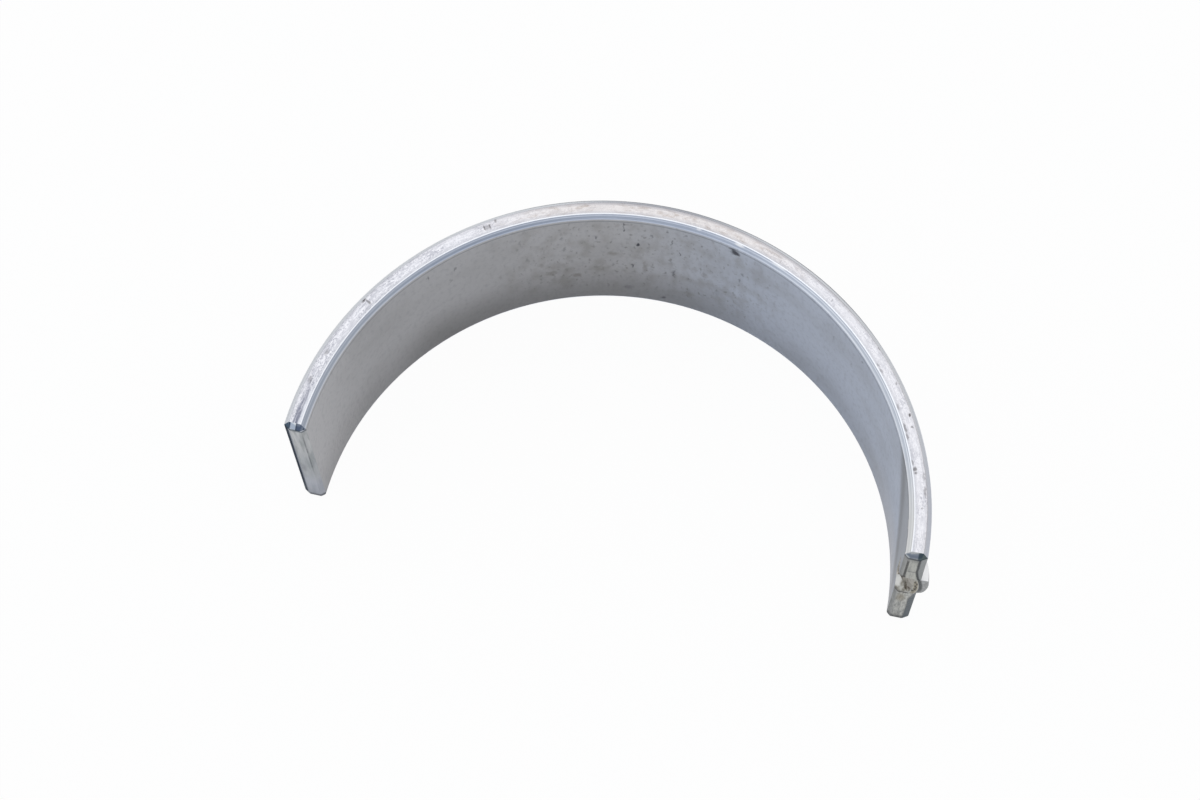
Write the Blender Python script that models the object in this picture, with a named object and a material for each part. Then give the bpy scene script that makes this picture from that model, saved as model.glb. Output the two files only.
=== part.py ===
"""Half shell of a plain crankshaft bearing: one rolled strip of steel with a soft lining.

The shell stands on one rim, with the bearing axis upright. +X points to the end that
carries the locating lug, +Y to the crown of the arc, and +Z runs along the bearing axis.
"""
from math import atan2, cos, hypot, pi, radians, sin, sqrt

import bmesh
import bpy
from mathutils import Matrix, Vector

MM = 0.001

# The strip and its arc.
HOUSING_BORE = 56.0 * MM       # bore of the housing that the back seats in
FREE_SPREAD = 0.26 * MM        # extra width over the parting faces before it is fitted
WALL = 2.0 * MM                # steel back and lining together
WIDTH = 16.7 * MM              # along the bearing axis, rim to rim
ARC_STEPS = 88                 # facets of the plain arc

# Edges along the rims: wide chamfers on the upper one, a light break on the lower one.
RIM_BACK_CHAMFER = 0.42 * MM   # at 45 degrees, between upper rim and back
RIM_BORE_INSET = 0.52 * MM     # upper bore chamfer, measured across the wall
RIM_BORE_DROP = 0.30 * MM      # upper bore chamfer, measured down the bore
EDGE_BREAK = 0.15 * MM         # at 45 degrees, on both edges of the lower rim

# Edges around the two parting faces.
END_ARC = 0.35 * MM            # how far before the parting face its chamfers start
END_BACK_INSET = 0.57 * MM     # chamfer beside the back, measured across the wall
END_BORE_INSET = 0.35 * MM     # chamfer beside the bore, measured across the wall
CORNER_ARC = 0.56 * MM         # upper corner chamfer, measured along the rim
CORNER_DROP = 0.40 * MM        # upper corner chamfer, measured down the parting face

# Locating lug, pressed outward from the bore at the end of the arc.
LUG_TOP = 11.3 * MM            # height of its sheared upper side
LUG_WIDTH = 3.6 * MM           # along the bearing axis
LUG_CREST_DROP = 1.3 * MM      # from the upper side down to the highest point
LUG_HEIGHT = 0.76 * MM         # how far the crest stands out from the back
LUG_LENGTH = 2.4 * MM          # from the parting face to where it meets the back
LUG_SETBACK = 0.08 * MM        # its end stays this far behind the parting face
RECESS_DEPTH = 1.15 * MM       # how deep the punch went into the bore
RECESS_LENGTH = 1.9 * MM       # from the parting face to where the pocket runs out
RECESS_ROUND = 3.5 * MM        # half width of the curve that the pocket's floor follows
SHEAR_DRAFT = 0.08 * MM        # slope of the sheared sides over their height
DRAWN_OUT = 0.60 * MM          # how far the parting face's outer edge follows the lug
DRAWN_REACH = 4.0 * MM         # how far from the lug's middle the chamfer is still bent
LUG_ROWS = 12                  # rows of facets over the lug's width
DRAWN_ROWS = 4                 # rows above the lug, and as many below, for the bent chamfer
LUG_STEPS = 10                 # steps of facets along the lug and its pocket
CUT_SNAP = 0.001 * MM          # a cut this close to a point goes through the point

# Sizes that follow from those above.
BACK_RADIUS = (HOUSING_BORE + FREE_SPREAD) / 2
BORE_RADIUS = BACK_RADIUS - WALL
MID_RADIUS = BACK_RADIUS - WALL / 2
END_ANGLE = pi / 2 * FREE_SPREAD / (2 * BACK_RADIUS)
CHAMFER_ANGLE = END_ARC / BACK_RADIUS
PRESSED_REACH = max(LUG_LENGTH, RECESS_LENGTH)
LUG_ANGLE = PRESSED_REACH / BACK_RADIUS
CHAMFER_BAND = END_ARC + PRESSED_REACH / LUG_STEPS / 2   # ends short of the next points
LUG_BOTTOM = LUG_TOP - LUG_WIDTH
LUG_MIDDLE = LUG_TOP - LUG_WIDTH / 2
LUG_CREST = LUG_TOP - LUG_CREST_DROP
DEPTH_FROM_AXIS = (BACK_RADIUS + BORE_RADIUS * END_ANGLE) / 2

SATIN_GREY = (0.46, 0.47, 0.49, 1.0)
SATIN_ROUGHNESS = 0.38
SHARP_ANGLE = radians(20)
AXIS = Vector((0, 0, 1))


def clear_scene():
    for old in list(bpy.data.objects):
        bpy.data.objects.remove(old)


def satin_metal():
    material = bpy.data.materials.new("satin_bearing_metal")
    material.use_nodes = True
    shader = material.node_tree.nodes["Principled BSDF"]
    shader.inputs["Base Color"].default_value = SATIN_GREY
    shader.inputs["Metallic"].default_value = 1.0
    shader.inputs["Roughness"].default_value = SATIN_ROUGHNESS
    return material


def strip_section():
    """Outline of the strip as (radius, height), from the lower bore edge round to the upper."""
    return [
        (BORE_RADIUS, EDGE_BREAK),
        (BORE_RADIUS + EDGE_BREAK, 0),
        (BACK_RADIUS - EDGE_BREAK, 0),
        (BACK_RADIUS, EDGE_BREAK),
        (BACK_RADIUS, WIDTH - RIM_BACK_CHAMFER),
        (BACK_RADIUS - RIM_BACK_CHAMFER, WIDTH),
        (BORE_RADIUS + RIM_BORE_INSET, WIDTH),
        (BORE_RADIUS, WIDTH - RIM_BORE_DROP),
    ]


def sweep(bm, end, angle, steps):
    """Carry an end face round the bearing axis and return the face where it stops."""
    covered = [face for face in end if all(len(edge.link_faces) == 2 for edge in face.edges)]
    swept = bmesh.ops.spin(
        bm, geom=end, cent=(0, 0, 0), axis=AXIS, angle=angle, steps=steps,
        use_duplicate=False,
    )
    bmesh.ops.delete(bm, geom=covered, context="FACES_ONLY")
    return [item for item in swept["geom_last"] if isinstance(item, bmesh.types.BMFace)]


def radius_of(point):
    return hypot(point.x, point.y)


def around(radius, angle, height):
    """Point at a radius from the bearing axis, an angle from +X and a height."""
    return Vector((radius * cos(angle), radius * sin(angle), height))


def chamfer_end(bm, end, parting_angle, direction):
    """Narrow the strip over its last stretch to the parting face, with a wider upper corner."""
    step_back = Matrix.Rotation(-direction * (CORNER_ARC - END_ARC) / BACK_RADIUS, 3, "Z")
    for vert in end[0].verts:
        if vert.co.z > WIDTH - RIM_BORE_DROP / 2:
            vert.co = step_back @ vert.co
    cap = sweep(bm, end, direction * CHAMFER_ANGLE, 1)
    for vert in cap[0].verts:
        radius = max(radius_of(vert.co), BORE_RADIUS + END_BORE_INSET)
        radius = min(radius, BACK_RADIUS - END_BACK_INSET)
        height = min(max(vert.co.z, EDGE_BREAK), WIDTH - CORNER_DROP)
        vert.co = around(radius, parting_angle, height)


def rolled_strip(bm):
    """The plain arc from the end without a lug, then the finer stretch that takes the lug."""
    first_angle = pi - END_ANGLE - CHAMFER_ANGLE
    lug_start = END_ANGLE + CHAMFER_ANGLE + LUG_ANGLE
    verts = [bm.verts.new(around(radius, first_angle, height)) for radius, height in strip_section()]
    start = bm.faces.new(verts)
    plain_end = sweep(bm, [start], lug_start - first_angle, ARC_STEPS)
    lug_end = sweep(bm, plain_end, -LUG_ANGLE, LUG_STEPS)
    bmesh.ops.recalc_face_normals(bm, faces=bm.faces)
    chamfer_end(bm, lug_end, END_ANGLE, -1)
    chamfer_end(bm, [start], pi - END_ANGLE, 1)


def arc_from_end(point):
    """Distance along the back from the lug's parting face."""
    return (atan2(point.y, point.x) - END_ANGLE) * BACK_RADIUS


def beside_end(radius, distance, height):
    """Point at a radius, a distance along the back from the lug's parting face, and a height."""
    return around(radius, END_ANGLE + distance / BACK_RADIUS, height)


def row_heights():
    """Heights of the rows of facets: the bent chamfer, the sheared sides and the lug between."""
    low_side = LUG_BOTTOM - SHEAR_DRAFT
    high_side = LUG_TOP + SHEAR_DRAFT
    low_step = (low_side - (LUG_MIDDLE - DRAWN_REACH)) / DRAWN_ROWS
    high_step = (LUG_MIDDLE + DRAWN_REACH - high_side) / DRAWN_ROWS
    below = [low_side - low_step * row for row in range(DRAWN_ROWS + 1)]
    across = [LUG_BOTTOM + LUG_WIDTH * row / LUG_ROWS for row in range(LUG_ROWS + 1)]
    above = [high_side + high_step * row for row in range(DRAWN_ROWS + 1)]
    return below + across + above


def cut_rows(bm):
    """Divide the faces at the lug's end along each row."""
    reach = (CHAMFER_ANGLE + LUG_ANGLE) * BACK_RADIUS
    for height in row_heights():
        faces = [face for face in bm.faces if arc_from_end(face.calc_center_median()) < reach]
        edges = {edge for face in faces for edge in face.edges}
        verts = {vert for face in faces for vert in face.verts}
        bmesh.ops.bisect_plane(
            bm, geom=faces + list(edges) + list(verts), dist=CUT_SNAP,
            plane_co=(0, 0, height), plane_no=AXIS,
        )


def arc_share(height, half_width):
    """Height of a round form beside its crest, as a share of the crest's own."""
    offset = (height - LUG_CREST) / half_width
    return sqrt(max(0.0, 1 - offset * offset))


def run_out(distance, length):
    """How a pressed form falls away from the parting face, along a round of its length."""
    return max(0.0, 1 - (distance / length) ** 2)


def punched(height):
    """Whether a row lies between the two sheared sides."""
    slack = SHEAR_DRAFT / 2
    return LUG_BOTTOM - slack < height < LUG_TOP + slack


def into_pocket(radius, distance, height):
    """A point of the bore, driven outward where the punch went in."""
    depth = RECESS_DEPTH * arc_share(height, RECESS_ROUND) * run_out(distance, RECESS_LENGTH)
    return beside_end(radius + depth, distance, height)


def onto_lug(radius, distance, height):
    """A point of the back, raised as the lug, which also spreads toward the parting face."""
    if distance > LUG_LENGTH:
        return beside_end(radius, distance, height)
    stretch = (LUG_LENGTH - LUG_SETBACK) / (LUG_LENGTH - END_ARC)
    spread = LUG_LENGTH - (LUG_LENGTH - distance) * stretch
    lower_flank = LUG_CREST - LUG_BOTTOM
    rise = LUG_HEIGHT * arc_share(height, lower_flank) * run_out(spread, LUG_LENGTH)
    return beside_end(radius + rise, spread, height)


def fade(offset):
    """Soft fall from 1 at no offset to 0 at an offset of 1 or more."""
    return cos(pi / 2 * min(1.0, max(0.0, offset))) ** 2


def bent_edge(radius, distance, height):
    """A point of the parting face's outer edge, drawn outward beside the lug."""
    offset = abs(height - LUG_MIDDLE) / DRAWN_REACH
    return beside_end(radius + DRAWN_OUT * fade(offset), distance, height)


def closed_chamfer(radius, height):
    """A point of the back's edge, brought forward above the lug, where the chamfer closes."""
    share = fade((height - LUG_TOP) / (LUG_MIDDLE + DRAWN_REACH - LUG_TOP))
    distance = END_ARC - (END_ARC - LUG_SETBACK) * share
    return beside_end(radius, distance, height)


def pressed(point):
    """Where a point near the lug's end lies after the punch has gone in."""
    radius = radius_of(point)
    distance = arc_from_end(point)
    if radius < MID_RADIUS:
        return into_pocket(radius, distance, point.z) if punched(point.z) else point
    if distance < END_ARC / 2:
        return bent_edge(radius, distance, point.z)
    if punched(point.z):
        return onto_lug(radius, distance, point.z)
    if point.z > LUG_TOP and distance < CHAMFER_BAND:
        return closed_chamfer(radius, point.z)
    return point


def press_lug(bm):
    cut_rows(bm)
    for vert in bm.verts:
        if arc_from_end(vert.co) < PRESSED_REACH:
            vert.co = pressed(vert.co)


def bearing_shell():
    bm = bmesh.new()
    rolled_strip(bm)
    press_lug(bm)
    bmesh.ops.recalc_face_normals(bm, faces=bm.faces)
    mesh = bpy.data.meshes.new("bearing_shell")
    bm.to_mesh(mesh)
    bm.free()
    mesh.shade_smooth()
    mesh.set_sharp_from_angle(angle=SHARP_ANGLE)
    mesh.materials.append(satin_metal())
    shell = bpy.data.objects.new("bearing_shell", mesh)
    shell.location = (0, -DEPTH_FROM_AXIS, 0)
    bpy.context.scene.collection.objects.link(shell)
    return shell


clear_scene()
bearing_shell()
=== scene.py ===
# %% [markdown]
# # One half of a crankshaft bearing
#
# A crankshaft turns in pairs of thin half shells. Each one is a strip of steel with a soft grey
# lining, rolled to a half round. Its rims and ends are machined, and a punch has pushed a small
# locating lug out of one end. The solid from the CAD file already has the right shape and size.
# This script loads it, eases its edges, and gives every surface the finish of its own tool, with
# some light and shade painted into the colours.

# %% Load the frame
from math import atan2, hypot, pi, radians

import bmesh
import bpy
from mathutils import Matrix, Vector


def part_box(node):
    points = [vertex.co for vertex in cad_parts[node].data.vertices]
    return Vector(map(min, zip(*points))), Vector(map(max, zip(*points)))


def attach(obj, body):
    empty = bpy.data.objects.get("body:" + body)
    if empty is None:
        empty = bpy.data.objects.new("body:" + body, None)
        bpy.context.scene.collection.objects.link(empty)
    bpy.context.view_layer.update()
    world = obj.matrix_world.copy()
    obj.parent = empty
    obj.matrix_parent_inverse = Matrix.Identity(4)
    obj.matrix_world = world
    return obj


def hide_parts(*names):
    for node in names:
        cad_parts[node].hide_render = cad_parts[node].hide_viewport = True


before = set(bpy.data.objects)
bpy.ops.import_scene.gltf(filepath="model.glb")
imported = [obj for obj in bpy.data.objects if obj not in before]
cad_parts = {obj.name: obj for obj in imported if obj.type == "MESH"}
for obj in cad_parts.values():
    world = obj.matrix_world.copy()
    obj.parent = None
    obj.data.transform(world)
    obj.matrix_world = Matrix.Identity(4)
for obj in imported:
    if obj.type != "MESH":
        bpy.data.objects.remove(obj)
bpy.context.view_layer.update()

print("nodes:", sorted(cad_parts))

# %% [markdown]
# ## Sizes
#
# Everything is in metres. The width and the place of the bearing axis are read from the loaded
# solid, so they can't drift from it. The thin features are repeated here by name, because they
# say where one finish ends and the next begins.

# %% Sizes of the shell
MM = 0.001
LOW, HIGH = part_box("bearing_shell")
WIDTH = HIGH.z
WALL = 2 * MM
BACK_RADIUS = 28.13 * MM
BORE_RADIUS = BACK_RADIUS - WALL
AXIS_Y = HIGH.y - BACK_RADIUS
PARTING_Y = LOW.y
LUG_TOP = 11.3 * MM
LUG_BOTTOM = 7.7 * MM
PRESSED_REACH = 2.6 * MM   # how far up the strip from its end the punch has moved it
SAME_POINT = 0.001 * MM    # points nearer than this are one
print("width", round(WIDTH / MM, 2), "mm, axis at y", round(AXIS_Y / MM, 2), "mm")

# %% [markdown]
# ## Camera
#
# The photo looks down into the half round from above, a little from the right. The place, the
# aim and the slight roll below were found by matching the shell's rims to the photo, so the
# render can be laid over it edge by edge.

# %% Camera
CAMERA_PLACE = Vector((17.99, -86.76, 221.52)) * MM
CAMERA_AIM = Vector((-2.79, -2.36, 8.35)) * MM
CAMERA_ROLL = radians(-1.255)
CAMERA_LENS = 76.93
SENSOR_WIDTH = 36
NEAREST_SEEN = 0.01
FARTHEST_SEEN = 10


def make_camera():
    data = bpy.data.cameras.new("camera")
    data.lens = CAMERA_LENS
    data.sensor_width = SENSOR_WIDTH
    data.clip_start = NEAREST_SEEN
    data.clip_end = FARTHEST_SEEN
    camera = bpy.data.objects.new("camera", data)
    turn = (CAMERA_AIM - CAMERA_PLACE).to_track_quat("-Z", "Y").to_matrix().to_4x4()
    roll = Matrix.Rotation(CAMERA_ROLL, 4, "Z")
    camera.matrix_world = Matrix.Translation(CAMERA_PLACE) @ turn @ roll
    bpy.context.scene.collection.objects.link(camera)
    bpy.context.scene.camera = camera


make_camera()
print("camera", round((CAMERA_AIM - CAMERA_PLACE).length / MM), "mm from the shell")

# %% [markdown]
# ## Which tool made which face
#
# On the real shell each surface comes from another step: the lining is bored, the rims are
# faced, the edges are chamfered, the ends are broached and the lug is punched. The faces of the
# solid are sorted by where they lie and which way they look, before any edge is eased, so that
# the small new faces along an edge take the finish of a neighbour.

# %% Names of the finishes
ROUGHNESS = {          # of each finish, from 0 for a mirror to 1 for chalk
    "bore": 0.42,
    "back": 0.38,
    "rim": 0.3,
    "rim_chamfer_out": 0.3,
    "rim_chamfer_in": 0.3,
    "plain_end": 0.36,
    "end_chamfer": 0.4,
    "lug_end": 0.38,
    "corner": 0.14,
    "lug": 0.4,
    "sheared": 0.3,
    "pocket": 0.5,
}
FINISHES = list(ROUGHNESS)
FINISH_INDEX = {name: index for index, name in enumerate(FINISHES)}
print(len(FINISHES), "finishes")

# %% Sort the faces
FLAT = 0.95                # as good as parallel, for two unit vectors
LEANING = 0.3              # leans this way, at least
SKIN = 0.03 * MM           # nearer than this counts as lying on a surface
END_STRETCH = 0.6 * MM     # the ends and their chamfers reach this far up the strip
PUNCH_SLACK = 4 * SKIN     # the recess is this much taller than the lug, above and below
ONE_PLANE = radians(1)     # triangles that differ by less are joined to a quad
NEARLY_SQUARE = radians(60)    # how far a quad's corners may be from square


def radius_of(point):
    return hypot(point.x, point.y - AXIS_Y)


def outward(point):
    """Unit vector from the bearing axis to a point, level with it."""
    return Vector((point.x, point.y - AXIS_Y, 0)).normalized()


def near_lug(point):
    """Whether a point lies in the stretch of the lug end that the punch has moved."""
    return point.x > 0 and point.y - PARTING_Y < PRESSED_REACH


def pressed_finish(centre, normal):
    """Finish of a face in the pressed stretch, or None where the punch left it alone."""
    radius = radius_of(centre)
    if radius > BACK_RADIUS + SKIN:
        return "sheared" if normal.z > LEANING and centre.z > LUG_TOP - SKIN else "lug"
    between = LUG_BOTTOM - PUNCH_SLACK < centre.z < LUG_TOP + PUNCH_SLACK
    if between and BORE_RADIUS + SKIN < radius and normal.y > -FLAT:
        return "sheared" if abs(normal.z) > FLAT else "pocket"
    return None


def plain_finish(centre, normal):
    """Finish of a face that the punch left alone."""
    lean = normal.dot(outward(centre))
    at_end = centre.y - PARTING_Y < END_STRETCH
    if at_end and normal.y < -LEANING and normal.z > LEANING:
        return "corner"
    if at_end and normal.y < -LEANING and normal.z > -FLAT:
        if centre.x > 0:
            return "lug_end"
        return "end_chamfer" if normal.x < -LEANING else "plain_end"
    if abs(normal.z) > FLAT:
        return "rim"
    if abs(normal.z) > LEANING:
        return "rim_chamfer_out" if lean > 0 else "rim_chamfer_in"
    return "back" if lean > 0 else "bore"


def finish_of(face):
    centre = face.calc_center_median()
    pressed = pressed_finish(centre, face.normal) if near_lug(centre) else None
    return pressed or plain_finish(centre, face.normal)


def shell_from_solid(solid):
    """The solid's triangles, merged into a closed mesh of quads with a finish on each face."""
    bm = bmesh.new()
    bm.from_mesh(solid.data)
    bmesh.ops.remove_doubles(bm, verts=bm.verts, dist=SAME_POINT)
    bmesh.ops.join_triangles(
        bm, faces=bm.faces, angle_face_threshold=ONE_PLANE, angle_shape_threshold=NEARLY_SQUARE,
    )
    for face in bm.faces:
        face.material_index = FINISH_INDEX[finish_of(face)]
        face.smooth = True
    return bm


shell_bm = shell_from_solid(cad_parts["bearing_shell"])
for name in FINISHES:
    count = sum(face.material_index == FINISH_INDEX[name] for face in shell_bm.faces)
    print(f"{name}: {count} faces")

# %% [markdown]
# ## Eased edges
#
# No machined edge is perfectly sharp. A thin round along it catches the light as a fine bright
# line, which is how the eye reads metal. A Bevel modifier with a weight on each edge gives the
# long rims a wider round than the crowded corner at the lug, and the lower rim, which knocks
# against things, the widest. Weighted normals then keep the large faces flat. Where several
# narrow rounds meet, a point can slip past the end of the strip, so those points are put back.

# %% Weigh the edges
WIDEST_ROUND = 0.16 * MM
LOWER_SHARE = 1            # shares of the widest round: along the edges of the lower rim,
RIM_SHARE = 0.56           # along the inner edge of the upper rim,
PLAIN_SHARE = 0.38         # on other plain edges,
LUG_SHARE = 0.14           # and at the lug and the upper corners
LUG_SURROUND = 2 * MM      # above and below the lug the edges are still crowded
UPPER_CORNER = 0.6 * MM
SHARP = radians(22)


def runs_along_arc(edge):
    start, end = (vert.co for vert in edge.verts)
    return abs(start.z - end.z) < SKIN and abs(radius_of(start) - radius_of(end)) < SKIN


def is_crowded(point):
    """Whether a point lies by the lug or in an upper corner of an end."""
    by_lug = LUG_BOTTOM - LUG_SURROUND < point.z < LUG_TOP + LUG_SURROUND
    in_corner = point.y - PARTING_Y < END_STRETCH and point.z > WIDTH - UPPER_CORNER
    return (near_lug(point) and by_lug) or in_corner


def edge_weight(edge):
    if len(edge.link_faces) != 2 or edge.calc_face_angle() < SHARP:
        return 0
    middle = (edge.verts[0].co + edge.verts[1].co) / 2
    if is_crowded(middle):
        return LUG_SHARE
    if not runs_along_arc(edge):
        return PLAIN_SHARE
    if middle.z < WIDTH / 2:
        return LOWER_SHARE
    return RIM_SHARE if radius_of(middle) < BACK_RADIUS - WALL / 2 else PLAIN_SHARE


def weigh_edges(bm):
    layer = bm.edges.layers.float.new("bevel_weight_edge")
    for edge in bm.edges:
        edge[layer] = edge_weight(edge)
    return sum(edge[layer] > 0 for edge in bm.edges)


print("edges to round:", weigh_edges(shell_bm))

# %% Round them
ROUND_SEGMENTS = 3
LARGE_FACE_PULL = 90       # how much more a large face turns the shared normals than a small one


def as_piece(bm, name, materials=()):
    mesh = bpy.data.meshes.new(name)
    for material in materials:
        mesh.materials.append(material)
    bm.to_mesh(mesh)
    piece = bpy.data.objects.new(name, mesh)
    bpy.context.scene.collection.objects.link(piece)
    return piece


def round_edges(piece):
    bevel = piece.modifiers.new("rounded_edges", "BEVEL")
    bevel.limit_method = "WEIGHT"
    bevel.width = WIDEST_ROUND
    bevel.segments = ROUND_SEGMENTS
    bevel.use_clamp_overlap = False
    bevel.loop_slide = False
    bevel.miter_outer = "MITER_ARC"
    flat = piece.modifiers.new("flat_faces", "WEIGHTED_NORMAL")
    flat.weight = LARGE_FACE_PULL


def apply_modifiers(piece):
    shown = piece.evaluated_get(bpy.context.evaluated_depsgraph_get())
    piece.data = bpy.data.meshes.new_from_object(shown)
    piece.modifiers.clear()


def keep_in_box(mesh, low, high):
    """Put back each point that has slipped out of the solid's box, and count them."""
    put_back = 0
    for vert in mesh.vertices:
        inside = [min(max(c, floor), top) for c, floor, top in zip(vert.co, low, high)]
        put_back += (Vector(inside) - vert.co).length > SAME_POINT
        vert.co = inside
    return put_back


MATERIALS = {name: bpy.data.materials.new(name) for name in FINISHES}
shell = as_piece(shell_bm, "shell", MATERIALS.values())
shell_bm.free()
round_edges(shell)
apply_modifiers(shell)
print("points put back:", keep_in_box(shell.data, LOW, HIGH))
print("faces after rounding:", len(shell.data.polygons))

# %% [markdown]
# ## A place on the strip
#
# Tool marks on a rolled strip follow the strip and not the room. Each point gets its place on the
# flattened strip, in millimetres: along the arc from the crown, through the wall from the bore,
# and up from the lower rim. The plain end lies at about -41 along the arc and the lug end at 41.
# Patterns then run along the arc without a seam. The finishes below call the three numbers
# along, depth and height, and every distance in them is in these millimetres.

# %% Write each point's place on the strip
CROWN = pi / 2


def place_on_strip(point):
    angle = atan2(point.y - AXIS_Y, point.x)
    along = (CROWN - angle) * BORE_RADIUS
    return Vector((along, radius_of(point) - BORE_RADIUS, point.z)) / MM


def write_places(mesh):
    places = mesh.attributes.new("strip_place", "FLOAT_VECTOR", "POINT")
    for vert in mesh.vertices:
        places.data[vert.index].vector = place_on_strip(vert.co)


write_places(shell.data)
print("points with a place:", len(shell.data.vertices))

# %% [markdown]
# ## Building blocks for the finishes
#
# The finishes share a few effects: a cloudy grain that can be stretched into tool lines, a soft
# band round one value, a soft oval for a single pit, stain, scratch or painted glint, and the
# distance from the line where the punch dragged the wall. Each is a node group with named inputs,
# built once and placed in every material that needs it with its own values. The finishes are laid
# on like coats of thin paint: a first colour, then one more for each thing that happened to the
# surface, and some for painted light and shade.

# %% Helpers for shader nodes
MIX_UNDER = 6              # a Mix node has sockets for every kind of data;
MIX_OVER = 7               # these three are the ones for colours
MIX_RESULT = 2


def add(tree, kind, **settings):
    node = tree.nodes.new("ShaderNode" + kind)
    for name, value in settings.items():
        setattr(node, name, value)
    return node


def feed(socket, value):
    """Link a socket, or set it, whichever the value is."""
    if isinstance(value, bpy.types.NodeSocket):
        socket.id_data.links.new(value, socket)
    else:
        socket.default_value = value


def fed(kind, *entries, **settings):
    """Outputs of a new node whose first inputs are fed in order, in the tree of the entries."""
    tree = next(entry.id_data for entry in entries if isinstance(entry, bpy.types.NodeSocket))
    node = add(tree, kind, **settings)
    for socket, entry in zip(node.inputs, entries):
        feed(socket, entry)
    return node.outputs


def combine(operation, first, second):
    return fed("Math", first, second, operation=operation)[0]


def times(*masks):
    product = masks[0]
    for mask in masks[1:]:
        product = combine("MULTIPLY", product, mask)
    return product


def remap(value, low, high, to_low=0, to_high=1):
    """Smooth step of a value from one range to another; low may be the larger one."""
    entries = (value, low, high, to_low, to_high)
    return fed("MapRange", *entries, interpolation_type="SMOOTHSTEP")[0]


def moved(operation, first, second):
    return fed("VectorMath", first, second, operation=operation)[0]


def split(place):
    return fed("SeparateXYZ", place)


def tint(mask, under, over):
    """Colour that goes from one to another as the mask goes from 0 to 1."""
    node = add(mask.id_data, "Mix", data_type="RGBA")
    feed(node.inputs["Factor"], mask)
    feed(node.inputs[MIX_UNDER], under)
    feed(node.inputs[MIX_OVER], over)
    return node.outputs[MIX_RESULT]


def coat(colour, over, *masks):
    """A colour with another laid over it where all the masks are on; a number thins the coat."""
    return tint(times(*masks), colour, over)


def srgb(red, green, blue):
    """A colour as it is read off a screen, from 0 to 255, made linear for the shader."""
    shares = [value / 255 for value in (red, green, blue)]
    linear = [s / 12.92 if s <= 0.04045 else ((s + 0.055) / 1.055) ** 2.4 for s in shares]
    return (*linear, 1)


print("mid grey:", [round(value, 3) for value in srgb(128, 128, 128)])

# %% Groups: grain and band
def new_group(name, inputs, outputs):
    tree = bpy.data.node_groups.new(name, "ShaderNodeTree")
    for side, sockets in (("INPUT", inputs), ("OUTPUT", outputs)):
        for label, kind in sockets:
            tree.interface.new_socket(label, in_out=side, socket_type="NodeSocket" + kind)
    given = tree.nodes.new("NodeGroupInput").outputs
    result = tree.nodes.new("NodeGroupOutput").inputs
    return tree, given, result


def grain_group():
    """Cloudy noise with its own number of waves per millimetre for each direction."""
    tree, given, result = new_group(
        "grain",
        [("Place", "Vector"), ("Waves per mm", "Vector"), ("Detail", "Float"),
         ("Low", "Float"), ("High", "Float")],
        [("Mask", "Float"), ("Shift", "Color")],
    )
    cloud = add(tree, "TexNoise")
    stretched = moved("MULTIPLY", given["Place"], given["Waves per mm"])
    feed(cloud.inputs["Vector"], stretched)
    cloud.inputs["Scale"].default_value = 1
    feed(cloud.inputs["Detail"], given["Detail"])
    feed(result["Mask"], remap(cloud.outputs["Fac"], given["Low"], given["High"]))
    feed(result["Shift"], cloud.outputs["Color"])
    return tree


def band_group():
    """1 where a value is near the centre, fading to 0 past the half width."""
    tree, given, result = new_group(
        "band",
        [("Value", "Float"), ("Centre", "Float"), ("Half width", "Float"), ("Fade", "Float")],
        [("Mask", "Float")],
    )
    offset = combine("SUBTRACT", given["Value"], given["Centre"])
    distance = combine("ABSOLUTE", offset, 0)
    outside = combine("ADD", given["Half width"], given["Fade"])
    feed(result["Mask"], remap(distance, outside, given["Half width"]))
    return tree


GRAIN = grain_group()
BAND = band_group()
print("groups:", GRAIN.name, "and", BAND.name)

# %% Groups: mark and drawn line
MARK_EDGE = 1.3            # a mark ends at this share of its reach
MARK_CORE = 0.4            # and is whole inside this one
DRAWN_FROM = (5.4, 8.8)    # heights over which the wall swings out below the lug
DRAWN_BACK = (13.6, 9.4)   # and back in above it
DRAWN_OUT = 0.64
LINE_DEPTH = 1.39          # of the line where the wall is not drawn


def mark_group():
    """An oval that is 1 at its centre and fades to 0 past its reach."""
    tree, given, result = new_group(
        "mark",
        [("Place", "Vector"), ("Centre", "Vector"), ("Reach", "Vector"), ("Strength", "Float")],
        [("Mask", "Float")],
    )
    offset = moved("SUBTRACT", given["Place"], given["Centre"])
    share = moved("DIVIDE", offset, given["Reach"])
    distance = fed("VectorMath", share, operation="LENGTH")["Value"]
    soft = remap(distance, MARK_EDGE, MARK_CORE)
    feed(result["Mask"], times(soft, given["Strength"]))
    return tree


def drawn_line_group():
    """How far a point lies outside the line where the punch dragged the wall, in mm."""
    tree, given, result = new_group("drawn_line", [("Place", "Vector")], [("Past", "Float")])
    _, depth, height = split(given["Place"])
    hump = times(remap(height, *DRAWN_FROM), remap(height, *DRAWN_BACK))
    line = combine("ADD", times(hump, DRAWN_OUT), LINE_DEPTH)
    feed(result["Past"], combine("SUBTRACT", depth, line))
    return tree


MARK = mark_group()
DRAWN_LINE = drawn_line_group()
print("groups:", MARK.name, "and", DRAWN_LINE.name)

# %% Place the groups in a material
MIDDLE_SHIFT = (0.5, 0.5, 0.5)     # the noise's colour wanders round this


def grain(place, waves, detail=2, low=0.35, high=0.65, output="Mask"):
    return fed("Group", place, waves, detail, low, high, node_tree=GRAIN)[output]


def band(value, centre, half_width, fade):
    return fed("Group", value, centre, half_width, fade, node_tree=BAND)["Mask"]


def past_line(place):
    return fed("Group", place, node_tree=DRAWN_LINE)["Past"]


def one_mark(place, where, strength):
    """A single oval; where holds its centre and its half sizes."""
    return fed("Group", place, *where, strength, node_tree=MARK)["Mask"]


def all_marks(place, marks, where):
    """The strongest of many marks at each point."""
    strongest = 0
    for *size, strength in marks:
        mask = one_mark(place, where(*size), strength)
        strongest = combine("MAXIMUM", strongest, mask)
    return strongest


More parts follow.
